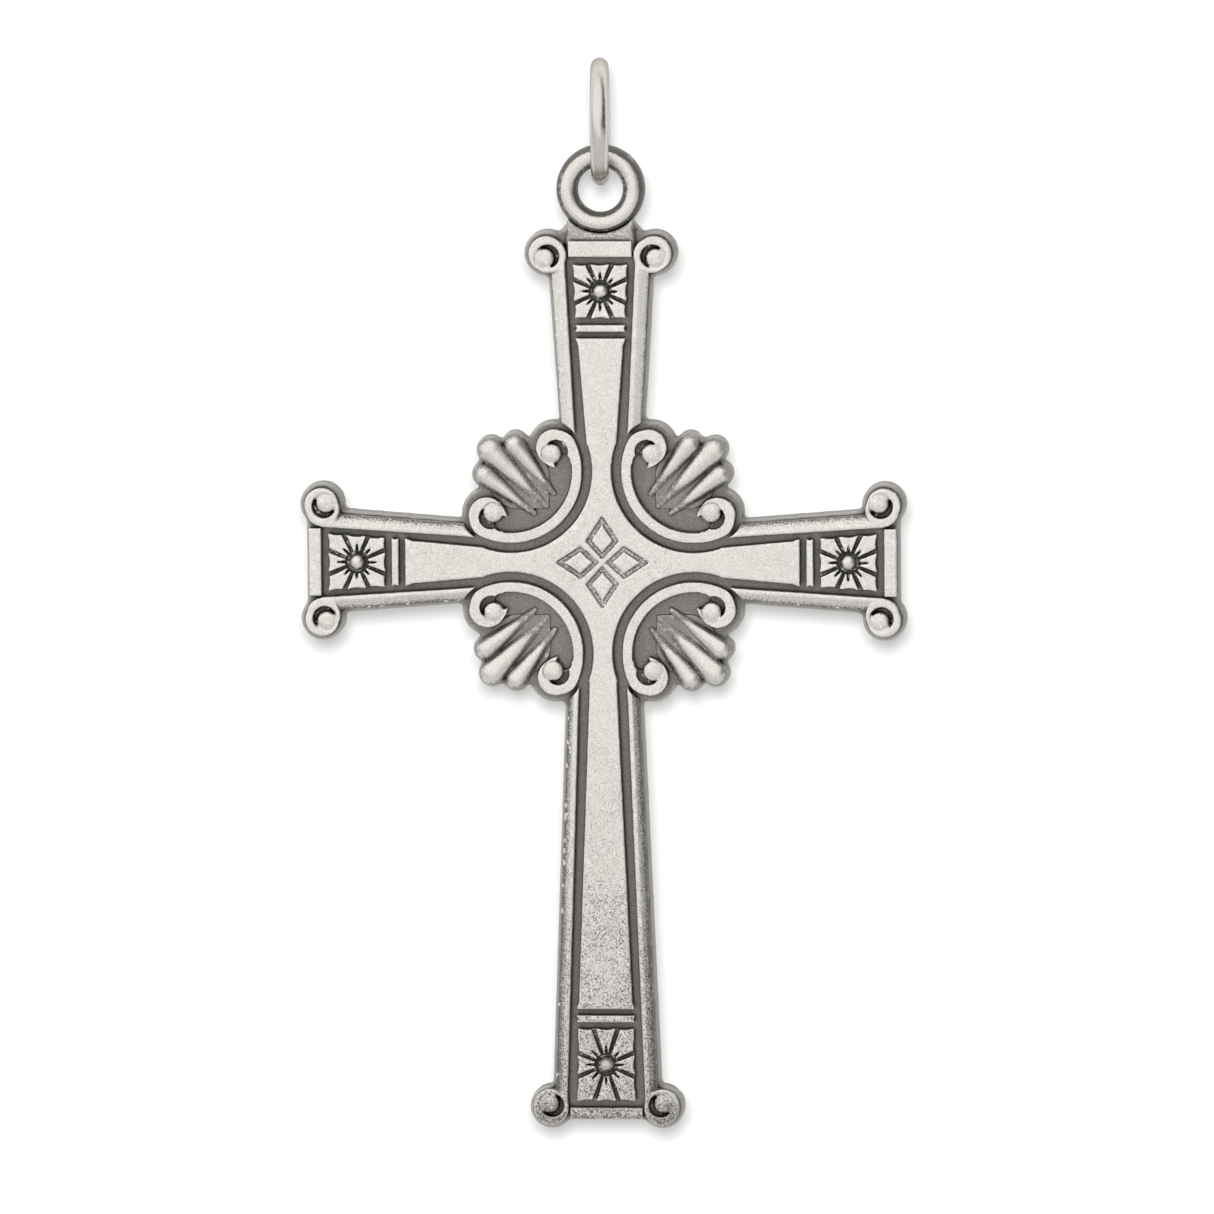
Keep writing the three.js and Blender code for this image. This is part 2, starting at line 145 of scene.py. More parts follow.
def portrait_camera():
    """A long lens a little to the right of the face and a little above it."""
    turn, height, tilt = (math.radians(angle) for angle in (5, 6.5, 0.45))
    view_width = 74.5 * MM
    back = Vector((math.sin(turn) * math.cos(height), -math.cos(turn) * math.cos(height), math.sin(height)))
    right = Vector((math.cos(turn), math.sin(turn), 0))
    up = back.cross(right)
    target = Vector((0, 0, -SEAT_HEIGHT * MM)) + right * 0.2 * MM - up * 2.82 * MM
    bpy.ops.object.camera_add()
    camera = bpy.context.object
    camera.data.lens = 400
    camera.data.sensor_width = 36
    camera.data.clip_start = 0.05
    camera.data.clip_end = 10
    facing = Matrix((
        right * math.cos(tilt) - up * math.sin(tilt),
        right * math.sin(tilt) + up * math.cos(tilt),
        back,
    )).transposed().to_4x4()
    distance = view_width * camera.data.lens / camera.data.sensor_width
    camera.matrix_world = Matrix.Translation(target + back * distance) @ facing
    bpy.context.scene.camera = camera


# ---- modelling by hand ----------------------------------------------------------------------------------

def only(piece):
    bpy.ops.object.select_all(action="DESELECT")
    piece.select_set(True)
    bpy.context.view_layer.objects.active = piece


def settled(piece):
    """Puts an object's place, turn and size into its mesh."""
    only(piece)
    bpy.ops.object.transform_apply(location=True, rotation=True, scale=True)
    return piece


def reshape(piece, chosen, move=(0, 0, 0), size=(1, 1, 1), centre=(0, 0, 0)):
    """Resizes the points that a test picks about a centre, and moves them."""
    only(piece)
    bpy.ops.object.mode_set(mode="EDIT")
    bpy.ops.mesh.select_mode(type="VERT")
    bpy.ops.mesh.select_all(action="DESELECT")
    bpy.ops.object.mode_set(mode="OBJECT")
    for point in piece.data.vertices:
        point.select = chosen(point.co)
    bpy.ops.object.mode_set(mode="EDIT")
    bpy.ops.transform.resize(value=size, center_override=centre)
    bpy.ops.transform.translate(value=move)
    bpy.ops.object.mode_set(mode="OBJECT")


def bar(foot, end, low, high, foot_span, end_span):
    """A straight bar along y, from one span of x at its foot to another at its end."""
    bpy.ops.object.select_all(action="DESELECT")
    middle = sum(foot_span) / 2
    bpy.ops.mesh.primitive_cube_add(size=1, location=(middle, (foot + end) / 2, (low + high) / 2))
    piece = bpy.context.object
    piece.scale = (foot_span[1] - foot_span[0], end - foot, high - low)
    settled(piece)
    widening = (end_span[1] - end_span[0]) / (foot_span[1] - foot_span[0])
    reshape(piece, lambda point: point.y > (foot + end) / 2, size=(widening, 1, 1),
            centre=(middle, end, 0), move=(sum(end_span) / 2 - middle, 0, 0))
    return piece


def drum(x, y, radius, low, high, sides=72):
    bpy.ops.object.select_all(action="DESELECT")
    bpy.ops.mesh.primitive_cylinder_add(
        vertices=sides, radius=radius, depth=high - low, location=(x, y, (low + high) / 2))
    return settled(bpy.context.object)


def modified(piece, kind, **settings):
    """Adds a modifier, sets it and applies it."""
    only(piece)
    modifier = piece.modifiers.new(kind, kind)
    for name, value in settings.items():
        setattr(modifier, name, value)
    bpy.ops.object.modifier_apply(modifier=modifier.name)


def cut(piece, *cutters, overlapping=True):
    """Takes the cutters away from a piece. Joined solids that still overlap need the slower way."""
    tool = joined(cutters)
    modified(piece, "BOOLEAN", operation="DIFFERENCE", solver="EXACT", use_self=overlapping, object=tool)
    bpy.data.objects.remove(tool)
    return piece


def joined(pieces):
    bpy.ops.object.select_all(action="DESELECT")
    for piece in pieces:
        piece.select_set(True)
    bpy.context.view_layer.objects.active = pieces[0]
    bpy.ops.object.join()
    return bpy.context.object


def turned(piece, degrees):
    piece.rotation_euler = (0, 0, math.radians(degrees))
    return settled(piece)


def copied(piece):
    only(piece)
    bpy.ops.object.duplicate()
    return bpy.context.object


def mirrored(piece):
    """A copy on the other side of the middle line, with its faces outwards again."""
    twin = copied(piece)
    twin.scale = (-1, 1, 1)
    settled(twin)
    face_outwards(twin)
    return twin


def face_outwards(piece):
    only(piece)
    bpy.ops.object.mode_set(mode="EDIT")
    bpy.ops.mesh.select_all(action="SELECT")
    bpy.ops.mesh.normals_make_consistent(inside=False)
    bpy.ops.object.mode_set(mode="OBJECT")


unevenness = bpy.data.textures.new("casting_unevenness", "CLOUDS")
unevenness.noise_scale = 1.6
unevenness.noise_depth = 2


def cast(piece, voxel, rounds, waviness=0.03):
    """Melts joined solids into one skin with rounded edges, as a cast and tumbled piece has."""
    modified(piece, "REMESH", mode="VOXEL", voxel_size=voxel)
    modified(piece, "SMOOTH", factor=0.5, iterations=rounds)
    modified(piece, "DISPLACE", texture=unevenness, strength=waviness, mid_level=0.5, texture_coords="LOCAL")
    only(piece)
    bpy.ops.object.shade_smooth()
    return piece


def stand_up(piece, name, node, finish, body="cross"):
    """Brings a finished flat piece upright into the frame, names it and hands it over."""
    piece.scale = (MM, MM, MM)
    piece.rotation_euler = (math.radians(90), 0, 0)
    piece.location = (0, 0, -SEAT_HEIGHT * MM)
    settled(piece)
    piece.name = name
    piece.data.name = name
    piece.data.materials.clear()
    piece.data.materials.append(finish)
    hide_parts(node)
    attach(piece, body)


# ---- finishes -------------------------------------------------------------------------------------------

class Value:
    """A shader socket that can be used in a Python expression."""

    def __init__(self, finish, socket):
        self.finish = finish
        self.socket = socket

    def math(self, operation, first, second):
        return self.finish.node("Math", {"operation": operation}, {0: first, 1: second})

    def __add__(self, other):
        return self.math("ADD", self, other)

    def __radd__(self, other):
        return self.math("ADD", other, self)

    def __sub__(self, other):
        return self.math("SUBTRACT", self, other)

    def __rsub__(self, other):
        return self.math("SUBTRACT", other, self)

    def __mul__(self, other):
        return self.math("MULTIPLY", self, other)

    def __rmul__(self, other):
        return self.math("MULTIPLY", other, self)

    def at_least(self, other):
        return self.math("MAXIMUM", self, other)


class Finish:
    """A node tree being wired: node() adds any node and gives back one of its outputs."""

    def __init__(self, tree):
        self.tree = tree

    def node(self, kind, settings=None, sockets=None, output=0):
        made = self.tree.nodes.new("ShaderNode" + kind)
        for name, value in (settings or {}).items():
            setattr(made, name, value)
        self.feed(made, sockets or {})
        return Value(self, made.outputs[output])

    def feed(self, target, sockets):
        for name, value in sockets.items():
            if isinstance(value, Value):
                self.tree.links.new(value.socket, target.inputs[name])
            else:
                target.inputs[name].default_value = value

    def millimetres(self):
        place = self.node("TexCoord", output="Object")
        return self.node("VectorMath", {"operation": "SCALE"}, {0: place, "Scale": 1 / MM})

    def noise(self, place, scale, detail=2.0, roughness=0.5):
        return self.node("TexNoise", sockets={
            "Vector": place, "Scale": scale, "Detail": detail, "Roughness": roughness})

    def ramp(self, value, low, high, to_low=0.0, to_high=1.0):
        """Eases from one level to another while a value climbs from low to high."""
        return self.node("MapRange", {"interpolation_type": "SMOOTHSTEP"}, {
            "Value": value, "From Min": low, "From Max": high, "To Min": to_low, "To Max": to_high})

    def blend(self, share, first, second):
        """A colour on the way from one to another."""
        return self.node("Mix", {"data_type": "RGBA"}, {0: share, 6: first, 7: second}, output=2)

    def openness(self, distance):
        """How much of the space around a point is clear, which is low in grooves and along walls."""
        return self.node("AmbientOcclusion", {"samples": 6}, {"Distance": distance * MM}, output="AO")


def new_finish(name):
    material = bpy.data.materials.new(name)
    material.use_nodes = True
    return material, Finish(material.node_tree), material.node_tree.nodes["Principled BSDF"]


BRIGHT = (0.87, 0.846, 0.806, 1)
DULL = (0.52, 0.5, 0.467, 1)
# worn edges of bare silver, painted brighter than the clean metal as an edge highlight
BURNISHED_HIGHLIGHT = (0.95, 0.935, 0.905, 1)
OXIDE_GREY = (0.25, 0.238, 0.22, 1)
LIGHT_OXIDE = (0.44, 0.422, 0.395, 1)
GROUND_OXIDE = (0.38, 0.365, 0.342, 1)
# painted shade: near-black laid into creases, along the feet of walls and where parts touch; in the relief's
# creases it also stands for the deepest patina
CREVICE_SHADE_BLACK = (0.016, 0.014, 0.012, 1)


def antique_silver(name, clean_from, clean_to, stain=OXIDE_GREY, speckle=2.7, wear=0.85):
    """Silver that was blackened, then rubbed bright again wherever a cloth could reach.

    It turns from black to clean between two heights of the relief, in millimetres. The stain is the colour
    left in the open ground, speckle is how patchy the black is, and wear is how bright the worn edges are;
    they are painted brighter than the clean metal as a highlight. Creases and the feet of walls get painted
    shade in near-black over the patina, and the silver gets darker towards the bottom of the pendant.
    """
    material, finish, shader = new_finish(name)
    place = finish.millimetres()
    depth = finish.node("SeparateXYZ", sockets={0: place}, output="Y")
    height = finish.node("SeparateXYZ", sockets={0: place}, output="Z")
    normal = finish.node("TexCoord", output="Normal")
    lean = finish.node("SeparateXYZ", sockets={0: normal}, output="Y")
    flatness = finish.ramp(lean * lean, 0.35, 0.95)
    patches = finish.noise(place, 0.45)
    grain = finish.noise(place, 11.0, 3.0, 0.65)
    specks = finish.noise(place, 12.0, 3.0, 0.7)
    openness = finish.openness(0.4)
    front = finish.ramp(0 - depth, clean_from, clean_to)
    back = finish.ramp(lean, 0.6, 0.9)
    reached = finish.ramp(openness, 0.5, 0.85)
    # darker towards the bottom of the pendant, in how clean and how bright the silver is, and darker again
    # over its lowest end
    lower_dimming = finish.ramp(height, -63.0, -36.0, 0.64, 1.0)
    foot = finish.ramp(height, -64.4, -62.8, 0.66, 1.0)
    rubbed = front.at_least(back) * reached * lower_dimming * foot * (0.45 + 0.55 * flatness)
    clean = finish.ramp(rubbed + speckle * (specks - 0.5) + 0.35 * (patches - 0.5), 0.34, 0.72)
    shine = finish.ramp(grain, 0.32, 0.62).at_least(0.5 * lower_dimming)
    metal = finish.blend(shine, DULL, BRIGHT)
    deep_stain = tuple(0.6 * part for part in stain[:3]) + (1,)
    oxide = finish.blend(finish.ramp(grain, 0.35, 0.7), deep_stain, stain)
    # painted shade: near-black where the open ground meets a wall or sits in a narrow crease, on top of the
    # patina there
    crevice = finish.openness(0.13)
    black = finish.blend(finish.ramp(openness, 0.36, 0.7) * finish.ramp(crevice, 0.5, 0.9), CREVICE_SHADE_BLACK, oxide)
    # worn edges show bare silver, and they are painted brighter than the clean metal as a highlight along
    # every edge
    edge = finish.ramp(finish.node("NewGeometry", output="Pointiness"), 0.51, 0.555)
    colour = finish.blend(wear * edge, finish.blend(clean, black, metal), BURNISHED_HIGHLIGHT)
    finish.feed(shader, {
        "Base Color": colour,
        "Metallic": 1.0,
        "Roughness": finish.ramp(clean, 0.0, 1.0, 0.56, 0.34) + 0.2 * (grain - 0.5),
        "Normal": finish.node("Bump", sockets={
            "Strength": 0.6, "Distance": 0.018 * MM, "Height": grain + clean}),
    })
    return material


def drawn_wire():
    """Silver wire that was never blackened, with hair-fine wear, and painted shade at its slit and where it
    touches the eyelet.
    """
    material, finish, shader = new_finish("drawn_silver_wire")
    place = finish.millimetres()
    grain = finish.noise(place, 3.0, 3.0, 0.6)
    fine = finish.noise(place, 12.0)
    # painted shade: near-black at the slit and where the ring rests against the eyelet
    slit_and_contact_shade = finish.ramp(finish.openness(0.08), 0.4, 0.75)
    metal = finish.blend(grain, (0.62, 0.598, 0.56, 1), (0.76, 0.738, 0.7, 1))
    finish.feed(shader, {
        "Base Color": finish.blend(slit_and_contact_shade, CREVICE_SHADE_BLACK, metal),
        "Metallic": 1.0,
        "Specular Tint": (0.5, 0.49, 0.47, 1),
        "Roughness": finish.ramp(grain, 0.3, 0.7, 0.2, 0.32),
        "Normal": finish.node("Bump", sockets={
            "Strength": 0.3, "Distance": 0.008 * MM, "Height": grain + fine}),
    })
    return material


# ---- backing plate --------------------------------------------------------------------------------------

def plate_arm(arm):
    root = along(arm["plate_half"], ARM_ROOT)
    end = along(arm["plate_half"], arm["plate_end"])
    x, y = arm["scroll"]
    return joined([
        bar(0, ARM_ROOT, PLATE_BACK, PLATE_FACE, (-root, root), (-root, root)),
        bar(ARM_ROOT - 0.1, arm["plate_end"], PLATE_BACK, PLATE_FACE, (-root, root), (-end, end)),
        drum(-x, y, arm["rim"], PLATE_BACK, PLATE_FACE),
        drum(x, y, arm["rim"], PLATE_BACK, PLATE_FACE),
    ])


def plate_corner():
    """The web in one corner, with lobes under the crescent's scrolls and the shell's ribs."""
    parts = [drum(*lobe, PLATE_BACK, PLATE_FACE) for lobe in PLATE_LOBES]
    parts.append(bar(0, 7.6, PLATE_BACK, PLATE_FACE, (0, 6.4), (0, 6.2)))
    parts.append(bar(0, 6.2, PLATE_BACK, PLATE_FACE, (0, 7.75), (0, 7.55)))
    return joined(parts)


def tongue():
    """The flared tongue under the eyelet, hollowed to the eyelet's rim."""
    root = ARMS["top"]["plate_end"]
    neck = bar(root - 1, root + 1.3, PLATE_BACK, TONGUE_TOP, (-2.15, 2.15), (-2.0, 2.0))
    flare = bar(root - 1, root + 0.9, PLATE_BACK, PLATE_FACE, (-3.7, 3.7), (-1.95, 1.95))
    return cut(joined([neck, flare]), drum(0, EYELET_HEIGHT, EYELET_RIM - 0.06, PLATE_BACK - 1, 2))


def backing_plate(finish):
    parts = [tongue()]
    for arm in ARMS.values():
        flat = plate_arm(arm)
        parts += [turned(copied(flat), turn) for turn in arm["turns"].values()]
        bpy.data.objects.remove(flat)
    corner = plate_corner()
    parts += [turned(copied(corner), turn) for turn in CORNERS.values()]
    bpy.data.objects.remove(corner)
    plate = cast(joined(parts), COARSE, 1, 0.02)
    stand_up(plate, "cast_backing_plate", "back_plate", finish)


# ---- centre field ---------------------------------------------------------------------------------------

def hollow_half(height):
    """Half-width of the field where its hollow corner passes a height."""
    return CORNER - math.sqrt(FIELD_CORNER ** 2 - (height - CORNER) ** 2)


def field_arm(arm):
    kink = hollow_half(arm["kink"])
    half = arm["field_half"]
    end = arm["field_end"]
    straight = bar(arm["kink"] - 0.1, end, SEAM, FIELD_TOP, (-kink, kink), (-half, half))
    flare = bar(end - 0.4, end, SEAM, FIELD_TOP, (0.02 - half, half - 0.02), (-half - 0.12, half + 0.12))
    return joined([straight, flare])


def lozenge(low, widest, high, half, foot, top):
    """A diamond-shaped solid that points up and down."""
    point = 0.004
    lower = bar(low, widest, foot, top, (-point, point), (-half, half))
    upper = bar(widest, high, foot, top, (-half, half), (-point, point))
    return joined([lower, upper])


def lozenge_groove():
    """A cutter with the outline of a lozenge, hollowed so that a diamond is left standing."""
    return cut(lozenge(0.2, 1.33, 2.87, 1.02, FIELD_TOP - LOZENGE_DEPTH, FIELD_TOP + 1),
               lozenge(0.62, 1.35, 2.34, 0.66, FIELD_TOP - 1, FIELD_TOP + 2))


def engraved_field(finish):
    reach = 7.35
    middle = bar(-reach, reach, SEAM, FIELD_TOP, (-reach, reach), (-reach, reach))
    for side in (-CORNER, CORNER):
        for height in (-CORNER, CORNER):
            cut(middle, drum(side, height, FIELD_CORNER, SEAM - 1, FIELD_TOP + 1, 144))
    parts = [middle]
    for arm in ARMS.values():
        flat = field_arm(arm)
        parts += [turned(copied(flat), turn) for turn in arm["turns"].values()]
        bpy.data.objects.remove(flat)
    field = cut(joined(parts), *[turned(lozenge_groove(), turn) for turn in CORNERS.values()])
    cast(field, BROAD, 2, 0.02)
    stand_up(field, "engraved_field", "field_cross", finish)


# ---- pieces along an arm --------------------------------------------------------------------------------

def collar(arm):
    """A narrow crossbar with waisted ends."""
    foot = arm["field_end"] + CHANNEL
    waist = foot + COLLAR / 2
    half = arm["field_half"] + 0.02
    lower = bar(foot, waist, SEAM, FIELD_TOP, (-half - 0.1, half + 0.1), (-half, half))
    upper = bar(waist, foot + COLLAR, SEAM, FIELD_TOP, (-half, half), (-half - 0.1, half + 0.1))
    return cast(joined([lower, upper]), FINE, 3, 0.015)


def graver_cut(x, y, reach, start_half, end_half, depth):
    """A V-shaped groove from near the middle of a tile towards a point."""
    cutter = bar(0.3, math.hypot(x, y) * reach, FIELD_TOP - depth, FIELD_TOP + 0.3,
                 (-start_half, start_half), (-end_half, end_half))
    reshape(cutter, lambda point: point.z < FIELD_TOP, size=(0.45, 1, 1))
    return turned(cutter, math.degrees(math.atan2(y, x)) - 90)


def tile_foot(arm):
    return arm["field_end"] + 2 * CHANNEL + COLLAR


def rosette_tile(arm):
    """A tile with scalloped sides, engraved with eight rays, eight darts and a dish for the boss."""
    foot = tile_foot(arm)
    near, far = arm["tile_half"]
    middle = (foot + arm["tile_end"]) / 2
    half_height = (arm["tile_end"] - foot) / 2
    half_width = (near + far) / 2
    tile = bar(foot - middle, arm["tile_end"] - middle, SEAM, FIELD_TOP, (-near, near), (-far, far))
    cutters = [drum(0, 0, DISH_RADIUS, FIELD_TOP - DISH_DEPTH, FIELD_TOP + 0.4, 32)]
    hollow = SCALLOP - SCALLOP_BITE
    for side in (-1, 1):
        for offset in (-RAY_OFFSET, RAY_OFFSET):
            cutters.append(graver_cut(offset, side * half_height, 1.25, 0.13, 0.25, RAY_DEPTH))
            cutters.append(graver_cut(side * half_width, offset, 1.25, 0.13, 0.25, RAY_DEPTH))
        for offset in (-1.15, 0, 1.15):
            lean = (far - near) / 2 * offset / half_height
            cutters.append(drum(offset, side * (half_height + hollow), SCALLOP, 0, 2))
            cutters.append(drum(side * (half_width + lean + hollow), offset, SCALLOP, 0, 2))
    for index in range(8):
        angle = index * math.pi / 4
        x, y = DART_REACH * math.cos(angle), DART_REACH * math.sin(angle)
        cutters.append(graver_cut(x, y, 1, 0.21, 0.05, DART_DEPTH))
    cut(tile, *cutters)
    tile.location.y = middle
    return cast(settled(tile), FINE, 2, 0.02)


def rosette_boss(arm):
    bpy.ops.object.select_all(action="DESELECT")
    middle = (tile_foot(arm) + arm["tile_end"]) / 2
    bpy.ops.mesh.primitive_uv_sphere_add(segments=40, ring_count=20, radius=BOSS_RADIUS,
                                         location=(0, middle, FIELD_TOP - 0.42))
    dome = bpy.context.object
    dome.scale = (1.04, 0.97, 0.98)
    return cast(settled(dome), FINE, 1, 0.03)


def end_bar(arm):
    foot = arm["tile_end"] + CHANNEL + 0.04
    half = arm["scroll_reach"] - 0.1
    return cast(bar(foot, arm["bar_end"], SEAM, FIELD_TOP, (-half, half), (-half, half)), FINE, 6, 0.04)


def scroll_sink(x, y, radius, eye_x, eye_y, eye_radius):
    """A cutter for the sink between a scroll's band and its eye, and for the room above the eye."""
    sink = drum(x, y, radius, RAIL_TOP - SINK_DEPTH, RAIL_TOP + 1)
    moat = cut(sink, drum(eye_x, eye_y, eye_radius, RAIL_TOP - 1, RAIL_TOP + 2))
    return joined([moat, drum(eye_x, eye_y, eye_radius + 0.01, RAIL_TOP - EYE_DROP, RAIL_TOP + 1)])


def domed_eye(x, y, radius):
    bpy.ops.object.select_all(action="DESELECT")
    bpy.ops.mesh.primitive_uv_sphere_add(segments=32, ring_count=16, radius=radius,
                                         location=(x, y, RAIL_TOP - EYE_DROP))
    dome = bpy.context.object
    dome.scale = (1, 1, (EYE_DROP + 0.03) / radius)
    return settled(dome)


def scroll_rail(arm):
    """A rail along the right-hand edge of an arm, rolled outwards into a scroll at its end."""
    x, y = arm["scroll"]
    radius = arm["scroll_radius"]
    eye = (x + RAIL_EYE[0], y + RAIL_EYE[1], RAIL_EYE[2])
    sink = (x + RAIL_SINK[0], y + RAIL_SINK[1], RAIL_SINK[2])
    inner = [along(arm["rail_inner"], place) for place in (RAIL_FOOT, y)]
    outer = [along(arm["rail_outer"], place) for place in (RAIL_FOOT, y)]
    crown = [edge + RAIL_CROWN for edge in inner]
    flat = bar(RAIL_FOOT, y, SEAM, RAIL_TOP, (inner[0], crown[0] + 0.01), (inner[1], crown[1] + 0.01))
    slope = bar(RAIL_FOOT, y, SEAM, RAIL_TOP, (crown[0], outer[0]), (crown[1], outer[1]))
    divide = [(crown[step] + outer[step]) / 2 for step in (0, 1)]
    reshape(slope, lambda point: point.z > SEAM + 0.1 and point.x > along(
        ((RAIL_FOOT, divide[0]), (y, divide[1])), point.y), move=(0, 0, -arm["rail_drop"]))
    curl = drum(x, y, radius, SEAM, RAIL_TOP)
    reach = drum(arm["scroll_reach"] + radius, y - 0.1, radius, SEAM, RAIL_TOP)
    rail = cut(joined([flat, slope, curl, reach]),
               drum(*RAIL_MITRE, PLATE_BACK, RAIL_TOP + 1),
               scroll_sink(*sink, *eye))
    return cast(joined([rail, domed_eye(*eye)]), MEDIUM, 5, 0.04)


# ---- corner pieces --------------------------------------------------------------------------------------

def swapped(circle):
    """The same circle on the other side of the corner's diagonal."""
    x, y, radius = circle
    return y, x, radius


def crescent():
    """A crescent band round the upper right corner, rolled into a scroll at both ends."""
    band = cut(drum(CORNER, CORNER, CRESCENT_OUTER, SEAM, RAIL_TOP, 160),
               drum(CORNER, CORNER, CRESCENT_INNER, SEAM - 1, RAIL_TOP + 1, 160))
    for turn in (-22, -68):
        far_half = turned(bar(0, 6, SEAM - 1, RAIL_TOP + 1, (-6, 6), (-6, 6)), turn)
        far_half.location = (CORNER, CORNER, 0)
        cut(band, settled(far_half))
    parts = [band]
    cutters = []
    eyes = []
    for placed in (tuple, swapped):
        parts += [drum(*placed(head), SEAM, RAIL_TOP) for head in CRESCENT_HEADS]
        eye = placed(CRESCENT_EYE)
        eyes.append(domed_eye(*eye))
        cutters.append(scroll_sink(*placed(CRESCENT_SINK), *eye))
        opening = drum(*placed(CRESCENT_MOUTH), SEAM - 1, RAIL_TOP + 1)
        cutters.append(cut(opening, drum(*eye, SEAM - 2, RAIL_TOP + 2)))
    return cast(joined([cut(joined(parts), *cutters)] + eyes), FINE, 6, 0.04)


def shell_rib(tip, end, radius):
    """One domed rib from its narrow tip to its round end."""
    length = math.dist(tip, end)
    height = RAIL_TOP - 0.02 - SEAM
    bpy.ops.object.select_all(action="DESELECT")
    bpy.ops.mesh.primitive_uv_sphere_add(segments=40, ring_count=20, radius=radius, location=(0, length, 0))
    head = settled(bpy.context.object)
    bpy.ops.object.select_all(action="DESELECT")
    bpy.ops.mesh.primitive_cone_add(vertices=40, radius1=radius, radius2=0.16, depth=length,
                                    location=(0, length / 2, 0), rotation=(math.pi / 2, 0, 0))
    tail = settled(bpy.context.object)
    rib = joined([head, tail])
    rib.scale = (1, 1, height / radius)
    settled(rib)
    turned(rib, math.degrees(math.atan2(end[1] - tip[1], end[0] - tip[0])) - 90)
    rib.location = (tip[0], tip[1], SEAM)
    return settled(rib)


def shell():
    """Three ribs fanning out of the crescent on a thin floor."""
    floor = joined([
        drum(5.15, 5.15, 1.9, SEAM, SEAM + SHELL_FLOOR),
        bar(3.3, 5.2, SEAM, SEAM + SHELL_FLOOR, (3.3, 5.0), (3.3, 6.2)),
    ])
    ribs = [shell_rib(*rib) for rib in SHELL_RIBS]
    below = bar(0, 12, SEAM - 2, SEAM, (0, 12), (0, 12))
    seats = [drum(*placed(SCROLL_SEAT), SEAM - 2, RAIL_TOP + 1) for placed in (tuple, swapped)]
    return cast(cut(joined([floor] + ribs), below, *seats), FINE, 3, 0.05)


# ---- eyelet and jump ring -------------------------------------------------------------------------------

def torus(radius, bar_radius, height=0.0, around=160, across=32):
    bpy.ops.object.select_all(action="DESELECT")
    bpy.ops.mesh.primitive_torus_add(major_segments=around, minor_segments=across, major_radius=radius,
                                     minor_radius=bar_radius, location=(0, height, 0))
    return settled(bpy.context.object)


def eyelet(finish):
    """A half-round loop with a thin flange behind."""
    flange = cut(drum(0, EYELET_HEIGHT, EYELET_RIM, -0.6, -0.1, 144),
                 drum(0, EYELET_HEIGHT, EYELET_RADIUS, -1, 1, 96))
    loop = cast(joined([torus(EYELET_RADIUS, EYELET_BAR, EYELET_HEIGHT), flange]), MEDIUM, 3, 0.03)
    stand_up(loop, "soldered_eyelet", "eyelet", finish)


def jump_ring(finish):
    """A ring of round wire, with the fine line where its ends meet."""
    ring = torus(RING_RADIUS, WIRE_RADIUS, around=256, across=40)
    slit = cut(drum(0, 0, 1, -0.03, 0.03, 40), drum(0, 0, WIRE_RADIUS - 0.06, -1, 1, 40), overlapping=False)
    slit.rotation_euler = (math.pi / 2, 0, 0)
    slit.location = (RING_RADIUS, 0, 0)
    settled(slit)
    turned(slit, -48)
    cut(ring, slit, overlapping=False)
    ring.rotation_euler = (0, math.pi / 2, 0)
    settled(ring)
    ring.rotation_euler = (0, math.radians(RING_TURN), 0)
    ring.location = (0, RING_HEIGHT, 0)
    settled(ring)
    only(ring)
    bpy.ops.object.shade_smooth_by_angle(angle=math.radians(50))
    stand_up(ring, "round_wire_ring", "jump_ring", finish, "ring")


# ---- studio ---------------------------------------------------------------------------------------------

def sweep():
    """A pale wall that runs into a pale floor in one curve, clear of the pendant's swing."""
    wall, floor, fillet, half_width, height, reach = (size * MM for size in (64, -112, 40, 600, 400, 500))
    bpy.ops.object.select_all(action="DESELECT")
    bpy.ops.mesh.primitive_plane_add(size=1)
    piece = bpy.context.object
    piece.scale = (2 * half_width, reach + wall, 1)
    piece.location = (0, (wall - reach) / 2, floor)
    settled(piece)
    bpy.ops.object.mode_set(mode="EDIT")
    bpy.ops.mesh.select_mode(type="EDGE")
    bpy.ops.mesh.select_all(action="DESELECT")
    bpy.ops.object.mode_set(mode="OBJECT")
    for edge in piece.data.edges:
        edge.select = all(piece.data.vertices[index].co.y > 0 for index in edge.vertices)
    bpy.ops.object.mode_set(mode="EDIT")
    bpy.ops.mesh.extrude_region_move(TRANSFORM_OT_translate={"value": (0, 0, height - floor)})
    bpy.ops.object.mode_set(mode="OBJECT")
    for edge in piece.data.edges:
        ends = [piece.data.vertices[index].co for index in edge.vertices]
        edge.select = all(end.y > 0 and end.z < floor + 0.001 for end in ends)
    bpy.ops.object.mode_set(mode="EDIT")
    bpy.ops.mesh.bevel(offset=fillet, segments=16)
    bpy.ops.object.mode_set(mode="OBJECT")
    bpy.ops.object.shade_smooth()
    piece.name = "pale_sweep"
    material, finish, shader = new_finish("pale_sweep")
    finish.feed(shader, {"Base Color": (0.62, 0.62, 0.62, 1), "Roughness": 0.9})
    clear = finish.node("BsdfTransparent")
    one_sided = finish.node("MixShader", sockets={
        0: finish.node("NewGeometry", output="Backfacing"), 1: Value(finish, shader.outputs[0]), 2: clear})
    finish.feed(material.node_tree.nodes["Material Output"], {"Surface": one_sided})
    piece.data.materials.append(material)


def soft_light():
    """White light all round, strongest from the upper left in front."""
    world = bpy.data.worlds.new("light_tent")
    bpy.context.scene.world = world
    world.use_nodes = True
    tent = Finish(world.node_tree)
    direction = tent.node("TexCoord", output="Generated")
    key = Vector((-0.5, -1.0, 0.75)).normalized()
    facing = tent.node("VectorMath", {"operation": "DOT_PRODUCT"}, {0: direction, 1: key}, output="Value")
    glow = tent.ramp(facing, 0.15, 0.72, 0.1, 1.12)
    seen_directly = tent.node("LightPath", output="Is Camera Ray")
    tent.feed(world.node_tree.nodes["Background"], {
        "Color": (1, 0.99, 0.975, 1),
        "Strength": tent.node("Mix", {"data_type": "FLOAT"}, {0: seen_directly, 2: glow, 3: 0.9})})


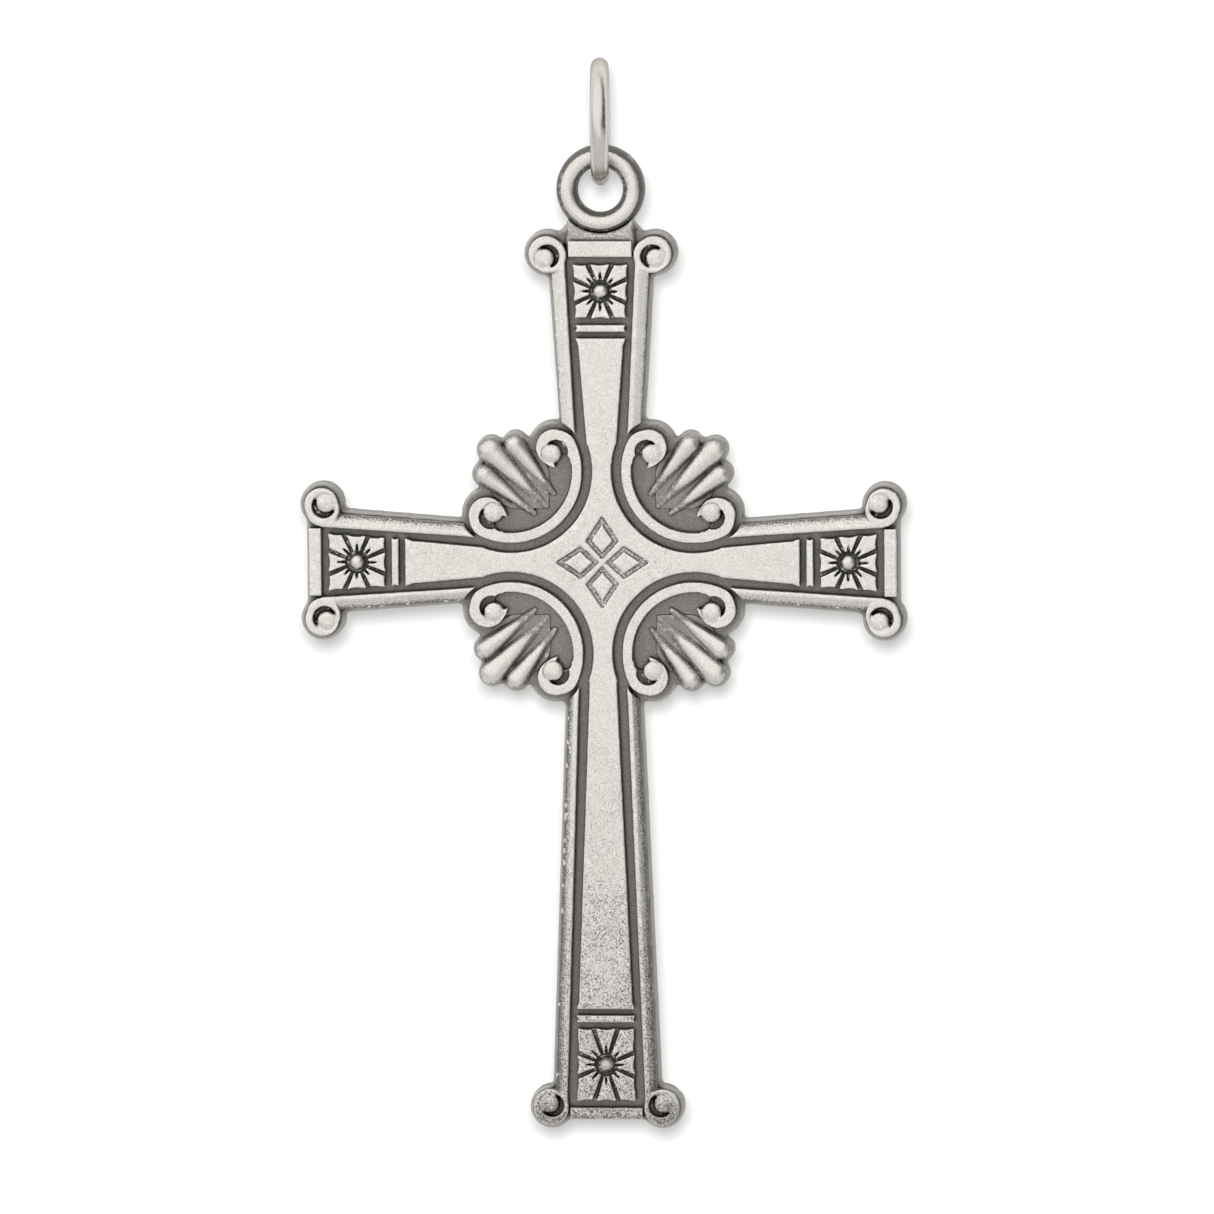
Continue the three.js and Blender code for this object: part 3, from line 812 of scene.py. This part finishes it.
def shadow_lamp():
    """A lamp beside the camera that throws the soft shadow, which shows low and on the right."""
    beside_lens = Vector((-0.002, 0.008, 0.02))
    place = bpy.context.scene.camera.matrix_world @ beside_lens
    bpy.ops.object.light_add(type="POINT", location=place)
    lamp = bpy.context.object
    lamp.data.shadow_soft_size = 0.008
    lamp.data.energy = LAMP_POWER
    lamp.visible_glossy = False


# ---- making the pendant ---------------------------------------------------------------------------------

bpy.context.scene.view_settings.view_transform = "Standard"
portrait_camera()
sweep()
soft_light()
shadow_lamp()

relief_silver = antique_silver("antique_relief_silver", 0.54, 0.88)
ground_silver = antique_silver("antique_ground_silver", 0.3, 0.65, GROUND_OXIDE, wear=0.4)
shell_silver = antique_silver("antique_shell_silver", 0.42, 0.7, LIGHT_OXIDE, speckle=1.9, wear=0.5)
boss_silver = antique_silver("antique_boss_silver", 0.6, 0.85, speckle=1.0)
eyelet_silver = antique_silver("antique_eyelet_silver", 0.42, 0.62, speckle=1.5, wear=0.3)
wire_silver = drawn_wire()

backing_plate(ground_silver)
engraved_field(relief_silver)
eyelet(eyelet_silver)
jump_ring(wire_silver)

for arm in ARMS.values():
    right_rail = scroll_rail(arm)
    flat_pieces = {
        ("collar_{}", "collar_bar_{}"): (collar(arm), relief_silver),
        ("rosette_{}", "rosette_tile_{}"): (rosette_tile(arm), relief_silver),
        ("boss_{}", "rosette_boss_{}"): (rosette_boss(arm), boss_silver),
        ("end_{}", "end_bar_{}"): (end_bar(arm), relief_silver),
        ("rail_{}_a", "scroll_rail_{}_a"): (mirrored(right_rail), relief_silver),
        ("rail_{}_b", "scroll_rail_{}_b"): (right_rail, relief_silver),
    }
    for (name, node), (flat, finish) in flat_pieces.items():
        for side, turn in arm["turns"].items():
            piece = turned(copied(flat), turn)
            stand_up(piece, name.format(side), node.format(side), finish)
        bpy.data.objects.remove(flat)

corner_pieces = {
    ("crescent_{}", "crescent_scroll_{}"): (crescent(), relief_silver, "bright_silver"),
    ("ribbed_shell_{}", "shell_{}"): (shell(), shell_silver, "dark_silver"),
}
for (name, node), (flat, finish, slot) in corner_pieces.items():
    for corner, turn in CORNERS.items():
        stand_up(turned(copied(flat), turn), name.format(corner), node.format(corner), finish)
    bpy.data.objects.remove(flat)
